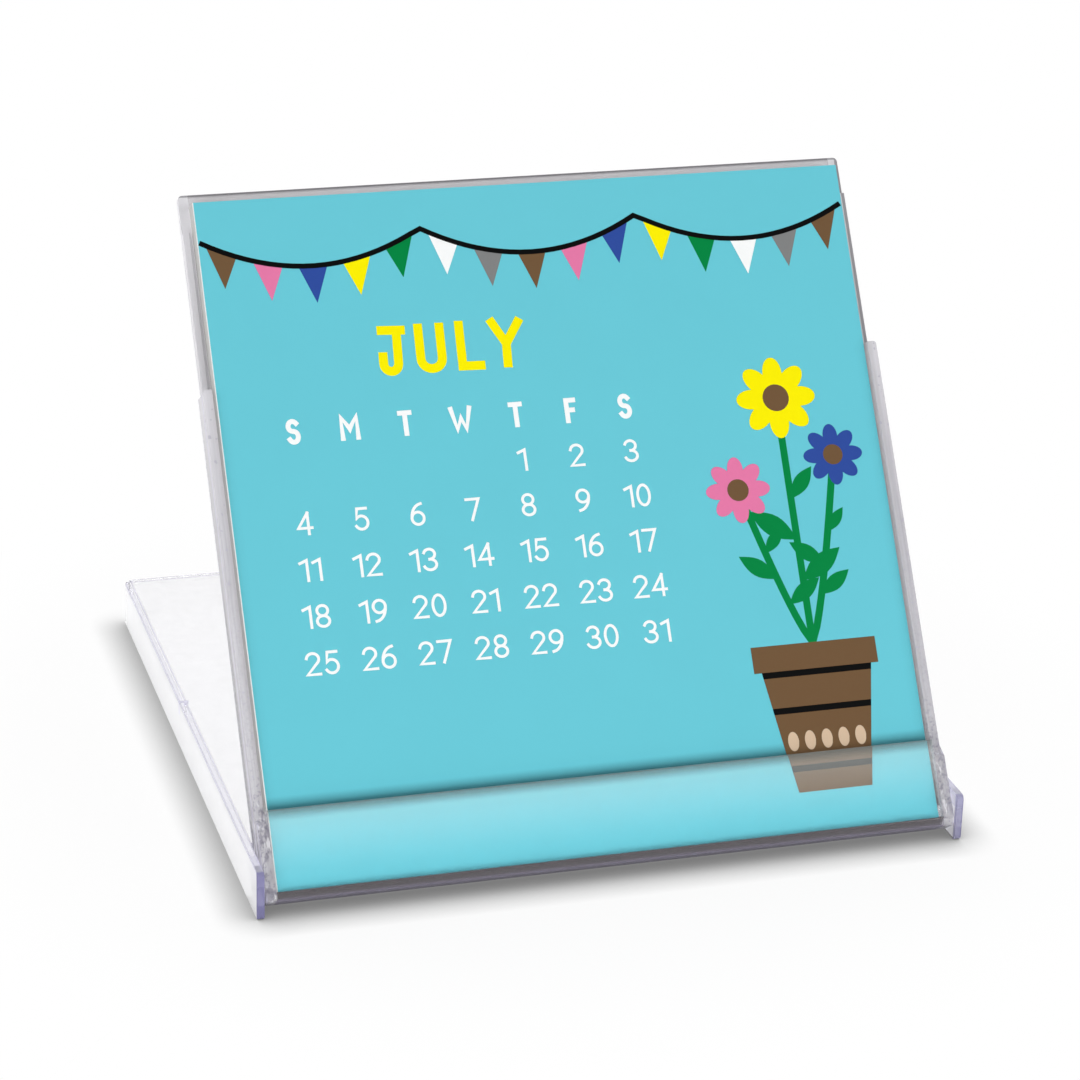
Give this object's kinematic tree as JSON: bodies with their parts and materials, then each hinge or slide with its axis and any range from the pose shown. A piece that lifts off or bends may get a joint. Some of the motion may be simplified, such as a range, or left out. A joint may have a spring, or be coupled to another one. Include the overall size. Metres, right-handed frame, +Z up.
{
  "type": "desk calendar",
  "caption": "Easel desk calendar: a stack of square month cards in a clear folding case, whose one half lies flat as a stand while the other leans back as the card tray.",
  "frame": {"origin": "middle of the footprint, on the table", "axes": "+Z up, +X to the reader's right across the hinge, +Y to the rear, so that the cards face -Y"},
  "size_m": [0.1248, 0.1252, 0.1024],
  "materials": {
    "clear_case": "clear polystyrene, glossy, with a violet tint along its edges",
    "card_stock": "smooth coated card, printed in turquoise, with white cut edges"
  },
  "bodies": {
    "stand": {"stand": "clear_case"},
    "card_tray": {"card_tray": "clear_case"},
    "card_july": {"card_july": "card_stock"},
    "card_august": {"card_august": "card_stock"},
    "card_september": {"card_september": "card_stock"},
    "card_october": {"card_october": "card_stock"},
    "card_november": {"card_november": "card_stock"},
    "card_december": {"card_december": "card_stock"},
    "card_january": {"card_january": "card_stock"},
    "card_february": {"card_february": "card_stock"},
    "card_march": {"card_march": "card_stock"},
    "card_april": {"card_april": "card_stock"},
    "card_may": {"card_may": "card_stock"},
    "card_june": {"card_june": "card_stock"}
  },
  "joints": [
    {"name": "tray_hinge", "type": "hinge", "parent": "stand", "child": "card_tray", "pos_m": [0, -0.0589, 0.00415], "axis": [1, 0, 0], "range_deg": [0, 304]},
    {"name": "july_slide", "type": "slide", "parent": "card_tray", "child": "card_july", "axis": [0, 0.5592, 0.829], "range_m": [0, 0.122]},
    {"name": "august_slide", "type": "slide", "parent": "card_tray", "child": "card_august", "axis": [0, 0.5592, 0.829], "range_m": [0, 0.122]},
    {"name": "september_slide", "type": "slide", "parent": "card_tray", "child": "card_september", "axis": [0, 0.5592, 0.829], "range_m": [0, 0.122]},
    {"name": "october_slide", "type": "slide", "parent": "card_tray", "child": "card_october", "axis": [0, 0.5592, 0.829], "range_m": [0, 0.122]},
    {"name": "november_slide", "type": "slide", "parent": "card_tray", "child": "card_november", "axis": [0, 0.5592, 0.829], "range_m": [0, 0.122]},
    {"name": "december_slide", "type": "slide", "parent": "card_tray", "child": "card_december", "axis": [0, 0.5592, 0.829], "range_m": [0, 0.122]},
    {"name": "january_slide", "type": "slide", "parent": "card_tray", "child": "card_january", "axis": [0, 0.5592, 0.829], "range_m": [0, 0.122]},
    {"name": "february_slide", "type": "slide", "parent": "card_tray", "child": "card_february", "axis": [0, 0.5592, 0.829], "range_m": [0, 0.122]},
    {"name": "march_slide", "type": "slide", "parent": "card_tray", "child": "card_march", "axis": [0, 0.5592, 0.829], "range_m": [0, 0.122]},
    {"name": "april_slide", "type": "slide", "parent": "card_tray", "child": "card_april", "axis": [0, 0.5592, 0.829], "range_m": [0, 0.122]},
    {"name": "may_slide", "type": "slide", "parent": "card_tray", "child": "card_may", "axis": [0, 0.5592, 0.829], "range_m": [0, 0.122]},
    {"name": "june_slide", "type": "slide", "parent": "card_tray", "child": "card_june", "axis": [0, 0.5592, 0.829], "range_m": [0, 0.122]}
  ]
}
